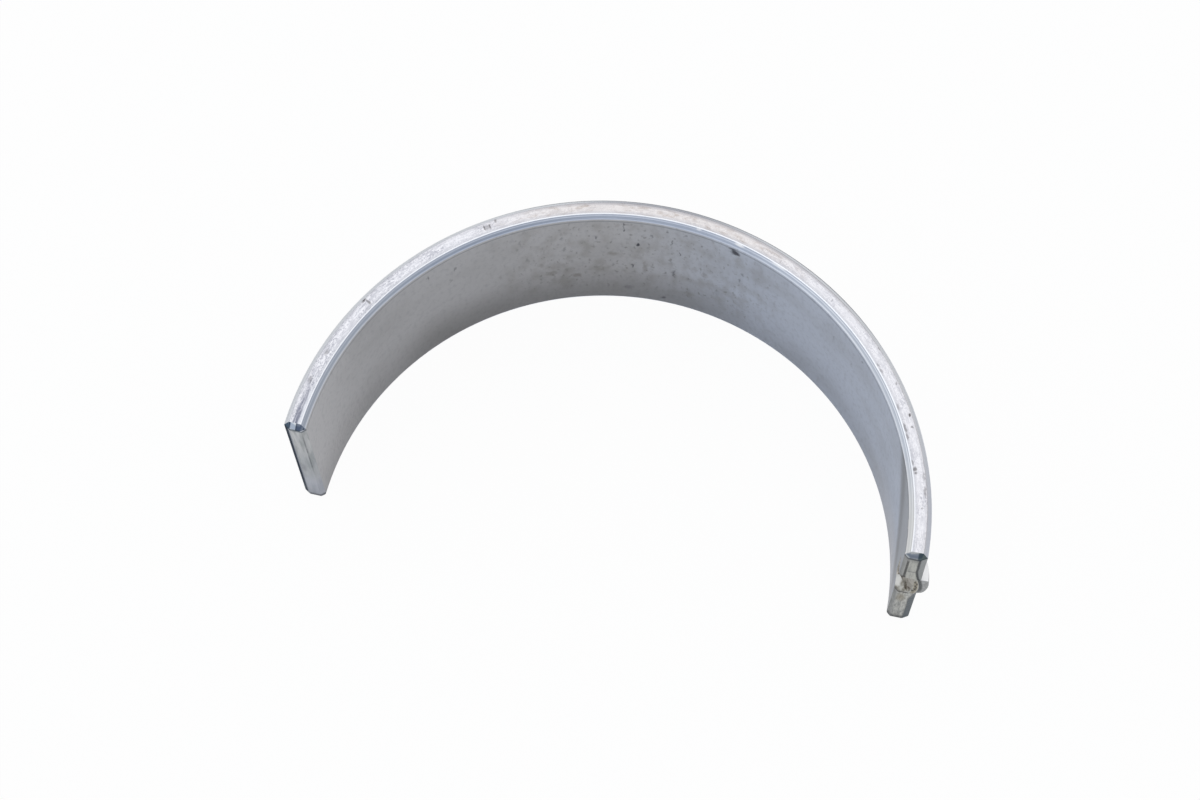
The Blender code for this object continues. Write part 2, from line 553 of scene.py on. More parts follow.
def ragged(place, waves, reach):
    """The place, pushed about by a share of the reach, so that a mark's edge is uneven."""
    shift = moved("SUBTRACT", grain(place, waves, output="Shift"), MIDDLE_SHIFT)
    return moved("ADD", place, moved("MULTIPLY", shift, (reach, reach, reach)))


def new_finish(name):
    """A material's Principled shader, and the place on the strip in millimetres."""
    material = MATERIALS[name]
    material.use_nodes = True
    tree = material.node_tree
    shader = tree.nodes["Principled BSDF"]
    shader.inputs["Metallic"].default_value = 1
    shader.inputs["Roughness"].default_value = ROUGHNESS[name]
    place = add(tree, "Attribute", attribute_name="strip_place")
    return shader, place.outputs["Vector"]


def dress(shader, colour, relief, depth):
    """Give a shader its colour and a relief; depth is how deep the relief goes."""
    feed(shader.inputs["Base Color"], colour)
    node = add(shader.id_data, "Bump")
    node.inputs["Distance"].default_value = depth
    feed(node.inputs["Height"], relief)
    feed(shader.inputs["Normal"], node.outputs["Normal"])


print("finishes to make:", ", ".join(FINISHES))

# %% [markdown]
# ## The lining in the bore
#
# The inside carries a thin soft lining, a dull grey, with a painted blue reflection that grows
# towards the lug end. The shell has been run: the lining has small dark pits and brown oil stains,
# most of them round the crown. Scattered noise would put them anywhere, so the marks that show in
# the photo are listed one by one, each with its angle from the lug end, its height and its half
# sizes. Painted shade darkens it low down, and painted reflections lie by the lug end.

# %% Pits and stains in the bore
# Each row: angle, height, half size along the arc, half height, strength.
BORE_PITS = [
    (138.8, 14.95, 0.12, 0.35, 0.5),
    (132.8, 13.65, 0.12, 0.5, 0.4),
    (133.8, 12, 0.1, 0.4, 0.25),
    (118.8, 13.6, 0.1, 0.7, 0.2),
    (117.6, 9.9, 0.15, 0.6, 0.2),
    (110.4, 13.1, 0.2, 0.4, 0.3),
    (110.1, 10.9, 0.2, 0.5, 0.3),
    (103.7, 12.9, 0.15, 0.4, 0.5),
    (98.2, 15.6, 0.12, 0.3, 0.6),
    (98.2, 15, 0.08, 0.8, 0.35),
    (98.2, 14.4, 0.15, 0.35, 0.6),
    (97.2, 2.5, 0.5, 0.5, 0.25),
    (96.4, 7.15, 0.15, 0.45, 0.65),
    (95.3, 11.8, 0.2, 0.45, 0.85),
    (92.7, 13.8, 0.12, 0.35, 0.4),
    (90, 1.2, 0.3, 0.4, 0.5),
    (89.5, 15.2, 0.15, 0.25, 0.4),
    (88.5, 13.3, 0.12, 0.6, 0.45),
    (88, 6.9, 0.2, 0.9, 0.5),
    (87, 11.4, 0.12, 0.5, 0.55),
    (85.9, 15.4, 0.15, 0.3, 0.35),
    (78.6, 5.9, 0.3, 0.8, 0.15),
    (76.5, 16, 0.4, 0.3, 0.5),
    (75.6, 15.65, 0.45, 0.6, 0.85),
    (74.1, 10.4, 0.12, 0.4, 0.35),
    (73.5, 11.8, 0.1, 0.4, 0.35),
    (50.6, 13.1, 0.12, 0.4, 0.2),
    (44.6, 12.1, 0.12, 0.5, 0.2),
    (42, 15.3, 0.12, 0.35, 0.35),
]
BORE_STAINS = [
    (114.9, 8.3, 0.3, 0.6, 0.3),
    (112.8, 6.1, 0.5, 0.6, 0.45),
    (112.2, 7.6, 0.9, 0.7, 0.25),
    (107.7, 5, 0.55, 0.5, 0.5),
    (103, 6.4, 0.6, 0.7, 0.25),
    (100.5, 9.5, 0.45, 0.5, 0.45),
    (99.6, 15.4, 0.3, 0.3, 0.25),
    (93.8, 7.2, 0.3, 1.2, 0.45),
    (84.6, 3.3, 0.6, 0.6, 0.4),
    (83.7, 8.9, 0.4, 0.5, 0.25),
    (81.6, 8.4, 0.35, 0.6, 0.3),
]
SKIN_DEEP = 0.5            # how far through the wall a mark counts, in mm
CROWN_ANGLE = 90


def along_arc(angle):
    """Millimetres from the crown to an angle that is counted from the lug end."""
    return radians(CROWN_ANGLE - angle) * BORE_RADIUS / MM


def on_bore(angle, height, arc, tall):
    """Centre and reach of a mark in the bore."""
    return (along_arc(angle), 0, height), (arc, SKIN_DEEP, tall)


print(len(BORE_PITS), "pits and", len(BORE_STAINS), "stains")

# %% Colours of the lining
GREY_LINING = srgb(200, 199, 199)
# Painted reflection: the blue-grey that the lug half takes on.
PAINTED_BLUE_REFLECTION = srgb(205, 211, 222)
CLOUDED_LINING = srgb(140, 138, 134)
PALE_LINING = srgb(222, 220, 219)
SPECKLED_LINING = srgb(120, 122, 128)


def lining_colour(place, along):
    """Neutral grey on the plain half, with a painted blue-grey reflection on the lug half, both
    slightly cloudy.
    """
    colour = tint(remap(along, -6, 10), GREY_LINING, PAINTED_BLUE_REFLECTION)
    clouds = grain(place, (0.12, 0.1, 0.2), 3, 0.4, 0.75)
    colour = coat(colour, CLOUDED_LINING, clouds, 0.2)
    colour = coat(colour, PALE_LINING, remap(along, -28, -40), 0.6)
    fine = grain(place, (2.2, 2.2, 1.4), 4, 0.45, 0.75)
    return coat(colour, SPECKLED_LINING, fine, 0.18)


print("lining:", [round(value, 2) for value in GREY_LINING])

# %% What running has done to it, with painted shade and reflection
BURNT_BLOTCH = srgb(134, 127, 116)
BURNT_FLECK = srgb(112, 109, 105)
# Painted reflection by the lug end: a warm grey past a dark slanting wedge.
PAINTED_WARM_REFLECTION = srgb(152, 150, 146)
DARK_WEDGE_REFLECTION = srgb(112, 111, 112)
WEDGE_SLANT = 0.51         # the wedge leans this far along the arc for each mm down
WEDGE_TOP = 15             # height at which its middle lies
WEDGE_ALONG = 31.9         # here along the arc
# Painted shade low in the bore, strongest under the crown, and painted light low down by the lug
# end.
SHADED_FOOT = srgb(112, 109, 106)
BRIGHT_FOOT = srgb(236, 232, 228)


def handled_crown(place, along, height, colour):
    """Thin brown and grey blotches where the oil has burnt on, over the crown only."""
    crown = times(band(along, -2, 8, 9), band(height, 9, 5, 4))
    blotches = grain(place, (0.6, 0.5, 0.4), 6, 0.42, 0.72)
    colour = coat(colour, BURNT_BLOTCH, blotches, crown, 0.34)
    flecks = grain(place, (2.4, 2.4, 1.3), 4, 0.56, 0.72)
    return coat(colour, BURNT_FLECK, flecks, crown, 0.5)


def end_shadow(along, height, colour):
    """A painted dark reflection in a slanting wedge near the lug end, and a warmer painted
    reflection past it.
    """
    slant = times(combine("SUBTRACT", WEDGE_TOP, height), WEDGE_SLANT)
    past = combine("SUBTRACT", along, combine("ADD", slant, WEDGE_ALONG))
    colour = coat(colour, PAINTED_WARM_REFLECTION, remap(past, -1.4, 1), 0.55)
    return coat(colour, DARK_WEDGE_REFLECTION, band(past, 0.8, 0.1, 1.9), 0.45)


def foot_shades(along, height, colour):
    """Painted shade low down, most under the crown, and painted light low down by the lug end."""
    crown = remap(band(along, -9, 9, 14), 0, 1, 0.15, 0.44)
    low_down = remap(height, 8, 0.8)
    colour = coat(colour, SHADED_FOOT, low_down, crown)
    return coat(colour, BRIGHT_FOOT, low_down, remap(along, 22, 38), 0.55)


print("the wedge starts", WEDGE_ALONG, "mm from the crown")

# %% Finish of the bore
CHAMFER_SHADE = srgb(104, 110, 120)
STAIN_BROWN = srgb(112, 100, 84)
PIT_GREY = srgb(78, 78, 84)
PIT_ROUGHNESS = 0.8
PIT_DEPTH = 0.01 * MM


def bore_finish():
    shader, place = new_finish("bore")
    along, _, height = split(place)
    colour = lining_colour(place, along)
    colour = end_shadow(along, height, colour)
    colour = handled_crown(place, along, height, colour)
    colour = foot_shades(along, height, colour)
    colour = coat(colour, CHAMFER_SHADE, band(height, 16.12, 0.04, 0.1), 0.4)
    uneven = ragged(place, (1.6, 1.6, 1.2), 0.9)
    worn = grain(place, (3, 3, 2), 3, 0.2, 0.5)
    stains = all_marks(uneven, BORE_STAINS, on_bore)
    colour = coat(colour, STAIN_BROWN, stains, worn, 0.75)
    pits = all_marks(uneven, BORE_PITS, on_bore)
    roughness = remap(pits, 0, 1, ROUGHNESS["bore"], PIT_ROUGHNESS)
    feed(shader.inputs["Roughness"], roughness)
    relief = combine("SUBTRACT", grain(place, (3, 3, 2), 3), pits)
    dress(shader, coat(colour, PIT_GREY, pits), relief, PIT_DEPTH)


bore_finish()
print("bore done")

# %% [markdown]
# ## The faced rim
#
# The flat of the rim was faced bright, then handled, so it is the lightest surface, mottled with
# dull grey where the brightness has gone. It is greyest near the plain end, creamy over the crown,
# and it has small dark nicks near the lug end.

# %% Nicks on the rim
# Each row: angle, radius, half size along the arc, half width, strength.
RIM_NICKS = [
    (169.5, 27.35, 0.4, 0.2, 0.4),
    (163.5, 27.3, 0.35, 0.2, 0.4),
    (151.4, 27.65, 0.2, 0.16, 0.85),
    (151.1, 27.25, 0.1, 0.35, 0.6),
    (124.9, 27.25, 0.1, 0.3, 0.75),
    (123.9, 27.25, 0.1, 0.3, 0.75),
    (124.4, 27.2, 0.35, 0.25, 0.4),
    (122.5, 27.55, 0.08, 0.2, 0.55),
    (66.7, 27.05, 0.05, 0.2, 0.35),
    (54.4, 27.2, 0.06, 0.15, 0.35),
    (41.8, 27.7, 0.2, 0.08, 0.4),
    (39, 26.85, 0.25, 0.1, 0.35),
    (37.7, 26.85, 0.25, 0.1, 0.35),
    (34.4, 27.5, 0.15, 0.1, 0.45),
    (30, 26.82, 0.3, 0.12, 0.4),
    (27.9, 27.5, 0.15, 0.12, 0.9),
    (25.7, 26.8, 0.5, 0.12, 0.55),
    (25.6, 27.42, 0.1, 0.12, 0.7),
    (24, 26.8, 0.4, 0.12, 0.5),
    (18.8, 26.75, 0.3, 0.12, 0.5),
    (17.5, 26.88, 0.2, 0.22, 0.7),
    (16.7, 26.88, 0.15, 0.15, 0.65),
    (16, 27.55, 0.4, 0.12, 0.35),
    (13, 27.55, 0.5, 0.12, 0.45),
    (10, 27.3, 0.1, 0.15, 0.35),
]


def on_rim(angle, radius, arc, wide):
    """Centre and reach of a mark on the upper rim, where its radius stands for its height."""
    depth = radius - BORE_RADIUS / MM
    return (along_arc(angle), depth, WIDTH / MM), (arc, wide, SKIN_DEEP)


print(len(RIM_NICKS), "nicks")

# %% Where the brightness has gone
CREAM_RIM = srgb(214, 204, 195)
BROWNED_RIM = srgb(160, 144, 132)
OUTER_GREY = srgb(176, 174, 178)
INNER_GREY = srgb(186, 187, 193)


def dulled(place, along):
    """Mottled patches, thickest by the plain end."""
    mottle = grain(place, (1.4, 7, 1), 5, 0.4, 0.68)
    grit = grain(place, (6, 8, 1), 4, 0.42, 0.68)
    patches = grain(place, (0.35, 0.8, 0.3), 2, 0.35, 0.7)
    plain_end = remap(along, -10, -34, 0.3, 0.62)
    share = combine("ADD", plain_end, times(patches, 0.35))
    return times(combine("MAXIMUM", times(mottle, 0.8), grit), share)


def rubbed_lane(place, along, depth):
    """A short grey lane down the middle of the flat, by the plain end."""
    streaks = grain(place, (0.9, 8, 1), 3, 0.2, 0.55)
    middle = band(depth, 1, 0.14, 0.22)
    return times(middle, streaks, remap(along, -35, -39.8), 0.9)


def browned_crown(place, along, colour):
    over_crown = band(along, -1, 7, 10)
    colour = coat(colour, CREAM_RIM, over_crown, 0.45)
    browned = grain(place, (1.2, 3, 1), 5, 0.46, 0.7)
    return coat(colour, BROWNED_RIM, browned, over_crown, 0.5)


def rim_edges(along, depth, colour):
    """The flat is greyer toward both of its edges, and at the outer one most so near the crown."""
    crown = remap(band(along, 4, 8, 14), 0, 1, 0.25, 0.75)
    colour = coat(colour, OUTER_GREY, remap(depth, 1.25, 1.5), crown)
    return coat(colour, INNER_GREY, remap(depth, 0.9, 0.62), 0.5)


print("cream:", [round(value, 2) for value in CREAM_RIM])

# %% Finish of the rim
BRIGHT_RIM = srgb(233, 232, 235)
DULL_RIM = srgb(160, 161, 171)
CLEAN_RIM = srgb(248, 250, 255)
RUBBED_RIM = srgb(122, 125, 140)
NICK_GREY = srgb(84, 80, 80)
BRIGHT_ROUGHNESS = 0.26
DULL_ROUGHNESS = 0.42
FACED_DEPTH = 0.004 * MM


def rim_finish():
    shader, place = new_finish("rim")
    along, depth, _ = split(place)
    dull = dulled(place, along)
    colour = tint(dull, BRIGHT_RIM, DULL_RIM)
    clean_lane = times(remap(depth, 0.86, 0.7), remap(along, -35, -40), 0.8)
    colour = coat(colour, CLEAN_RIM, clean_lane)
    colour = coat(colour, RUBBED_RIM, rubbed_lane(place, along, depth))
    colour = browned_crown(place, along, colour)
    colour = rim_edges(along, depth, colour)
    nicks = all_marks(ragged(place, (3, 3, 3), 0.3), RIM_NICKS, on_rim)
    roughness = remap(dull, 0, 1, BRIGHT_ROUGHNESS, DULL_ROUGHNESS)
    feed(shader.inputs["Roughness"], roughness)
    lines = grain(place, (0.08, 12, 0.08), 2)
    relief = combine("SUBTRACT", lines, nicks)
    dress(shader, coat(colour, NICK_GREY, nicks), relief, FACED_DEPTH)


rim_finish()
print("rim done")

# %% [markdown]
# ## Chamfers along the rims
#
# A tool broke both edges of each rim. Its marks run along the arc, and the inner chamfer looks
# blue where it mirrors the darker side of the room; that blue, turning pale, white and warm
# towards the lug end, is painted reflection in its colour. The outer chamfer has painted shade
# over the crown and a painted blue reflection by the lug end. A painted highlight runs along the
# inner chamfer's upper edge, with a few painted glints on it.

# %% Finish of the inner chamfer
# Painted glints on the upper edge of the inner chamfer.
EDGE_GLINTS = [
    (83.5, 26.52, 0.25, 0.1, 0.7),
    (75.1, 26.5, 0.5, 0.12, 1),
    (66.5, 26.55, 0.8, 0.08, 0.8),
    (44, 26.65, 0.5, 0.08, 0.6),
    (39, 26.65, 0.4, 0.08, 0.6),
]
TURNED = (0.06, 14, 14)    # tool lines along the arc, in waves per mm
TURNED_DEPTH = 0.003 * MM
# The blue, pale, white and warm greys along the arc are painted reflection.
CHAMFER_BLUE = srgb(204, 211, 222)
CHAMFER_PALE = srgb(228, 234, 244)
CHAMFER_WHITE = srgb(244, 246, 248)
CHAMFER_WARM = srgb(222, 217, 206)
CHAMFER_MOTTLE = srgb(176, 182, 194)
TOOL_LINE = srgb(156, 163, 177)
MIDDLE_LINE = srgb(142, 152, 169)
UPPER_LINE = srgb(138, 146, 162)
LOWER_GLEAM = srgb(248, 250, 254)
# Painted highlights: a line along the upper edge and white glints on it.
UPPER_GLEAM = srgb(247, 248, 251)
GLINT_WHITE = srgb(252, 252, 252)


def inner_chamfer_finish():
    shader, place = new_finish("rim_chamfer_in")
    along, depth, _ = split(place)
    # Painted reflection along the arc, under the real tool lines and mottle.
    colour = tint(remap(along, -20, -2), CHAMFER_BLUE, CHAMFER_PALE)
    colour = coat(colour, CHAMFER_WHITE, remap(along, 2, 26))
    colour = coat(colour, TOOL_LINE, grain(place, TURNED), 0.4)
    colour = coat(colour, MIDDLE_LINE, band(depth, 0.24, 0.04, 0.06), 0.45)
    mottle = grain(place, (0.8, 4, 4), 3, 0.45, 0.7)
    colour = coat(colour, CHAMFER_MOTTLE, mottle, 0.3)
    colour = coat(colour, UPPER_LINE, band(depth, 0.42, 0.015, 0.03), 0.55)
    colour = coat(colour, LOWER_GLEAM, band(depth, 0.08, 0.015, 0.04), 0.5)
    colour = coat(colour, CHAMFER_WARM, remap(along, 30, 39), 0.6)
    # Painted highlight along the upper edge, then painted glints.
    colour = coat(colour, UPPER_GLEAM, remap(depth, 0.45, 0.51), 0.9)
    glints = all_marks(place, EDGE_GLINTS, on_rim)
    dress(shader, coat(colour, GLINT_WHITE, glints), grain(place, TURNED), TURNED_DEPTH)


inner_chamfer_finish()
print("inner chamfer done,", len(EDGE_GLINTS), "glints")

# %% Finish of the outer chamfer
# Painted shade over the crown and along the outer edge there, and a painted blue reflection by the
# lug end.
OUTER_CHAMFER = srgb(238, 239, 240)
OUTER_CROWN = srgb(188, 189, 194)
OUTER_BLUE = srgb(196, 200, 212)
OUTER_LINE = srgb(150, 153, 160)
BRIM_SHADE = srgb(108, 110, 116)


def outer_chamfer_finish():
    shader, place = new_finish("rim_chamfer_out")
    along, depth, _ = split(place)
    colour = tint(band(along, 0, 1.5, 8), OUTER_CHAMFER, OUTER_CROWN)
    colour = coat(colour, OUTER_BLUE, remap(along, 24, 38), 0.6)
    colour = coat(colour, OUTER_LINE, grain(place, TURNED), 0.3)
    near_crown = band(along, 4, 12, 8)
    colour = coat(colour, BRIM_SHADE, near_crown, remap(depth, 1.84, 1.95))
    dress(shader, colour, grain(place, TURNED), TURNED_DEPTH)


outer_chamfer_finish()
print("outer chamfer done")

# %% [markdown]
# ## The plain parting face
#
# The ends are broached flat, across the strip, so their marks run from rim to rim. The plain end
# is clean: a dark line where it meets each rim, the upper one painted shade under the corner, a
# fine one by the bore, and a dull patch. Its outer chamfer is painted dark, for the dark
# reflection it shows. Metal mirrors most where it is seen edge on, so there a dark base colour
# isn't enough, and the shader's own tint for that glancing light is darkened too.

# %% Finish of the plain end
LIGHT_END = srgb(208, 208, 206)
END_LINE = srgb(170, 172, 176)
END_CLOUD = srgb(184, 186, 186)
END_SMUDGE = srgb(132, 138, 136)
DIMMED_END = srgb(164, 170, 174)
DULL_PATCH = srgb(132, 134, 140)
BORE_LINE = srgb(84, 88, 92)
BLUISH_FOOT = srgb(196, 198, 212)
# Painted shade along the top, under the corner.
UPPER_EDGE_SHADE = srgb(74, 88, 98)
LOWER_EDGE = srgb(74, 78, 86)
BROACHED = (0.1, 6, 0.3)   # tool lines from rim to rim
BROACHED_DEPTH = 0.006 * MM
ALL_ALONG = 100            # longer than the strip, so that a mark fits either end


def end_mark(depth, height, wide, tall):
    """Centre and reach of a mark on a parting face."""
    return (0, depth, height), (ALL_ALONG, wide, tall)


PATCH = end_mark(1.15, 7.2, 0.42, 1.1)


def line_by_bore(place, depth, height):
    """A thin line beside the bore, in the upper half, stronger and weaker by turns."""
    line = times(band(depth, 0.36, 0.02, 0.07), band(height, 11, 2.6, 3))
    wavering = grain(place, (0.1, 0.3, 0.9), 2, 0.3, 0.6)
    return times(line, remap(wavering, 0, 1, 0.35, 0.7))


def plain_end_finish():
    shader, place = new_finish("plain_end")
    _, depth, height = split(place)
    colour = coat(LIGHT_END, END_LINE, grain(place, BROACHED, 3), 0.35)
    clouds = grain(place, (0.1, 1, 0.5), 3, 0.45, 0.7)
    colour = coat(colour, END_CLOUD, clouds, 0.5)
    smudges = grain(place, (0.1, 2.4, 0.3), 4, 0.44, 0.66)
    colour = coat(colour, END_SMUDGE, smudges, 0.55)
    colour = coat(colour, DIMMED_END, remap(height, 13, 9), 0.35)
    uneven = ragged(place, (2, 2, 2), 0.6)
    colour = coat(colour, DULL_PATCH, one_mark(uneven, PATCH, 0.5))
    colour = coat(colour, BORE_LINE, line_by_bore(place, depth, height))
    colour = coat(colour, BLUISH_FOOT, remap(height, 6.5, 3), 0.4)
    colour = coat(colour, UPPER_EDGE_SHADE, remap(height, 15.9, 16.2), 0.8)
    colour = coat(colour, LOWER_EDGE, remap(height, 0.85, 0.4), 0.75)
    dress(shader, colour, grain(place, BROACHED, 3), BROACHED_DEPTH)


plain_end_finish()
print("plain end done")

# %% Finish of its outer chamfer
# Painted dark reflection: the chamfer's dark base colour and its darkened glancing tint.
DARK_REFLECTED_CHAMFER = srgb(90, 96, 103)
WORN_CHAMFER = srgb(124, 128, 134)
CHAMFER_SMUDGE = srgb(84, 90, 98)
CHAMFER_EDGE = srgb(206, 208, 210)
GLANCING_TINT = (0.3, 0.32, 0.36, 1)


def end_chamfer_finish():
    """Painted dark reflection, a little worn near the lower rim, bright along its inner edge."""
    shader, place = new_finish("end_chamfer")
    _, depth, height = split(place)
    shader.inputs["Specular Tint"].default_value = GLANCING_TINT
    colour = tint(remap(height, 4, 1.5), DARK_REFLECTED_CHAMFER, WORN_CHAMFER)
    colour = coat(colour, CHAMFER_SMUDGE, grain(place, (0.5, 2, 0.6), 3), 0.4)
    colour = coat(colour, CHAMFER_EDGE, remap(depth, 1.64, 1.54))
    feed(shader.inputs["Base Color"], colour)


end_chamfer_finish()
print("end chamfer done")

# %% [markdown]
# ## The lug end
#
# Pressing the lug dragged the wall with it, so a line snakes down this face, darkened with painted
# shade, outside it the metal lies a little lower and is painted darker as a dark reflection, and
# the strip by the recess is torn and brown. A painted shadow line lies under the recess.
# Everything here is placed by the distance to that line and by height.

# %% Ground of the lug end
UPPER_GROUND = srgb(198, 197, 187)
LOWER_GROUND = srgb(212, 211, 203)
CORNER_SHADE = srgb(120, 122, 122)
EDGE_SHADE = srgb(152, 152, 149)
GROUND_STREAK = srgb(122, 124, 122)
GROUND_MOTTLE = srgb(104, 104, 98)
YELLOWED = srgb(140, 126, 96)
YELLOW_PATCH = end_mark(0.75, 6, 0.5, 1.3)


def lug_end_ground(place, depth, height):
    """Light above the recess, dull and streaked below it."""
    below = remap(height, 11.2, 7.4)
    colour = tint(below, UPPER_GROUND, LOWER_GROUND)
    colour = coat(colour, CORNER_SHADE, remap(height, 15, 16.1), 0.5)
    colour = coat(colour, EDGE_SHADE, remap(depth, 0.6, 0.2), 0.75)
    streaks = grain(place, (0.1, 5, 0.4), 3, 0.42, 0.66)
    colour = coat(colour, GROUND_STREAK, streaks, 0.5)
    mottle = grain(place, (0.1, 5, 1.4), 3, 0.42, 0.68)
    colour = coat(colour, GROUND_MOTTLE, mottle, below, 0.45)
    return coat(colour, YELLOWED, one_mark(place, YELLOW_PATCH, 0.55))


print("the yellow patch lies", YELLOW_PATCH[0][2], "mm up")

# %% Lines across it
BORE_SIDE_LINE = srgb(58, 58, 54)
CORNER_LINE = srgb(66, 68, 70)
HOOK_LINE = srgb(66, 62, 56)
STEP_LINE = srgb(104, 104, 100)
# Painted shadow: a dark line under the recess.
RECESS_SHADOW_LINE = srgb(64, 56, 46)
FOOT_LINE = srgb(70, 72, 74)
HOOK = end_mark(0.4, 11.55, 0.22, 0.3)


def lug_end_lines(place, depth, height, colour):
    """A line down by the bore that hooks into the recess, lines across at each change, and a
    painted shadow line under the recess.
    """
    upper = band(height, 13.4, 2, 0.6)
    colour = coat(colour, BORE_SIDE_LINE, band(depth, 0.46, 0.06, 0.08), upper, 0.9)
    colour = coat(colour, CORNER_LINE, remap(height, 16.05, 16.2), 0.85)
    colour = coat(colour, HOOK_LINE, one_mark(place, HOOK, 0.9))
    middle = band(depth, 0.95, 0.3, 0.15)
    colour = coat(colour, STEP_LINE, band(height, 13.1, 0.04, 0.09), middle, 0.7)
    inner = remap(depth, 1.5, 1.1)
    colour = coat(colour, RECESS_SHADOW_LINE, band(height, 7.45, 0.08, 0.16), inner, 0.85)
    return coat(colour, FOOT_LINE, remap(height, 1.3, 0.4), 0.75)


print("the hook lies", HOOK[0][2], "mm up")

# %% The drawn line and the torn strip
SLOW_WAVES = (0.7, 0.7, 0.7)       # an uneven line that still runs smoothly
LINE_WANDER = 0.12
TORN_SPOTS = [                     # depth, height and half sizes of the dark tears
    end_mark(1.60, 10.6, 0.10, 0.38),
    end_mark(1.76, 10.2, 0.09, 0.34),
    end_mark(1.66, 9.6, 0.13, 0.40),
    end_mark(1.82, 9.2, 0.08, 0.34),
    end_mark(1.70, 8.8, 0.13, 0.38),
    end_mark(1.56, 8.3, 0.15, 0.30),
]
# The outside's darker colours are painted dark reflection, and the drawn line's dark is painted
# shade.
OUTSIDE_UPPER = srgb(156, 158, 156)
OUTSIDE_LOWER = srgb(94, 102, 106)
LINE_LIGHT = srgb(226, 224, 218)
TORN_YELLOW = srgb(156, 142, 104)
TORN_BROWN = srgb(48, 38, 28)
DRAWN_LINE_SHADE = srgb(52, 56, 56)


def lug_end_drawn(place, height, colour):
    """What the punch did: a lower lying outside, painted darker as a dark reflection, a torn
    yellow strip, and the line itself, darkened with painted shade.
    """
    past = past_line(place)
    outside = tint(remap(height, 8, 7), OUTSIDE_UPPER, OUTSIDE_LOWER)
    colour = coat(colour, outside, remap(past, 0, 0.1))
    at_lug = band(height, 9.3, 1.4, 0.5)
    colour = coat(colour, LINE_LIGHT, band(past, -0.1, 0.03, 0.06), at_lug, 0.8)
    colour = coat(colour, TORN_YELLOW, band(past, -0.3, 0.14, 0.12), at_lug, 0.6)
    uneven = ragged(place, (3, 3, 2), 0.3)
    for spot in TORN_SPOTS:
        colour = coat(colour, TORN_BROWN, one_mark(uneven, spot, 0.98))
    half_width = remap(height, 8, 10.5, 0.02, 0.05)
    strong = remap(height, 5, 8, 0.3, 0.92)
    return coat(colour, DRAWN_LINE_SHADE, band(past, 0.03, half_width, 0.11), strong)


print(len(TORN_SPOTS), "torn spots")

# %% Finish of the lug end
LUG_END_DEPTH = 0.012 * MM


def lug_end_finish():
    shader, place = new_finish("lug_end")
    _, depth, height = split(place)
    uneven = ragged(place, (1.6, 1.6, 1.6), 0.35)
    colour = lug_end_ground(uneven, depth, height)
    colour = lug_end_lines(uneven, depth, height, colour)
    colour = lug_end_drawn(ragged(place, SLOW_WAVES, LINE_WANDER), height, colour)
    dress(shader, colour, grain(place, (0.1, 4, 2), 4), LUG_END_DEPTH)


lug_end_finish()
print("lug end done")

# %% [markdown]
# ## Lug, recess and corner facets
#
# The lug's upper face was sheared clean, and its white shine is a painted highlight, with a darker
# brown along its outer rim. The recess behind it is sheared near the bore and torn further in. The
# corner facets are ground smooth enough to mirror the dark side of the room, and their slate,
# white and blue are painted reflection.

# %% Finish of the lug
LUG_GREY = srgb(184, 184, 182)
LUG_MOTTLE = srgb(134, 134, 131)
# Painted shade along the drawn line where it reaches the lug.
LUG_DRAWN_SHADE = srgb(58, 62, 62)
# Darker brown along the top of the lug's outer rim.
LUG_RIM_BROWN = srgb(118, 108, 96)
LUG_DEPTH = 0.01 * MM


def lug_finish():
    shader, place = new_finish("lug")
    along, _, height = split(place)
    mottle = grain(place, (3, 4, 3), 4, 0.4, 0.7)
    colour = coat(LUG_GREY, LUG_MOTTLE, mottle, 0.6)
    past = past_line(ragged(place, SLOW_WAVES, LINE_WANDER))
    line = times(band(past, 0.05, 0.1, 0.18), remap(along, 40, 40.6))
    fading = remap(height, 8, 8.9, 0.4, 0.85)
    colour = coat(colour, LUG_DRAWN_SHADE, line, fading)
    behind_end = remap(along, 40.8, 40.55)
    colour = coat(colour, LUG_RIM_BROWN, remap(height, 11.05, 11.2), behind_end, 0.8)
    dress(shader, colour, mottle, LUG_DEPTH)


lug_finish()
print("lug done")

# %% Finish of the sheared faces
IN_RECESS = srgb(194, 193, 188)
# Painted highlight: the lug's upper face is pure white.
LUG_TOP_HIGHLIGHT = srgb(255, 255, 255)
SHEAR_LINE = srgb(215, 215, 215)
# Darker brown along the lug's outer rim.
SHEAR_RIM_BROWN = srgb(128, 116, 104)
BROKEN_LIGHT = srgb(172, 170, 162)
BROKEN_DARK = srgb(120, 116, 106)
SHEAR_DEPTH = 0.004 * MM


def torn_part(place, depth):
    """Deep in the recess and near its end the metal broke instead of shearing."""
    along, uneven_depth, _ = split(ragged(place, (1.6, 1.6, 1.6), 0.5))
    deep = remap(uneven_depth, 0.3, 0.7)
    torn = combine("MAXIMUM", deep, remap(along, 40.2, 40.6))
    return times(torn, remap(depth, 1.95, 1.9), 0.95)


def sheared_finish():
    shader, place = new_finish("sheared")
    _, depth, _ = split(place)
    lines = grain(place, (6, 0.8, 6), 2)
    colour = tint(remap(depth, 1.9, 1.95), IN_RECESS, LUG_TOP_HIGHLIGHT)
    colour = coat(colour, SHEAR_LINE, lines, 0.1)
    colour = coat(colour, SHEAR_RIM_BROWN, remap(depth, 2.62, 2.72), 0.9)
    crumbs = grain(place, (3, 3, 3), 3)
    broken = tint(crumbs, BROKEN_LIGHT, BROKEN_DARK)
    colour = coat(colour, broken, torn_part(place, depth))
    dress(shader, colour, lines, SHEAR_DEPTH)


sheared_finish()
print("sheared faces done")

# %% Finish of the recess
RECESS_LIGHT = srgb(198, 193, 183)
RECESS_MOTTLE = srgb(142, 137, 126)
RECESS_BROWN = srgb(84, 70, 54)
RECESS_DEPTH = 0.03 * MM


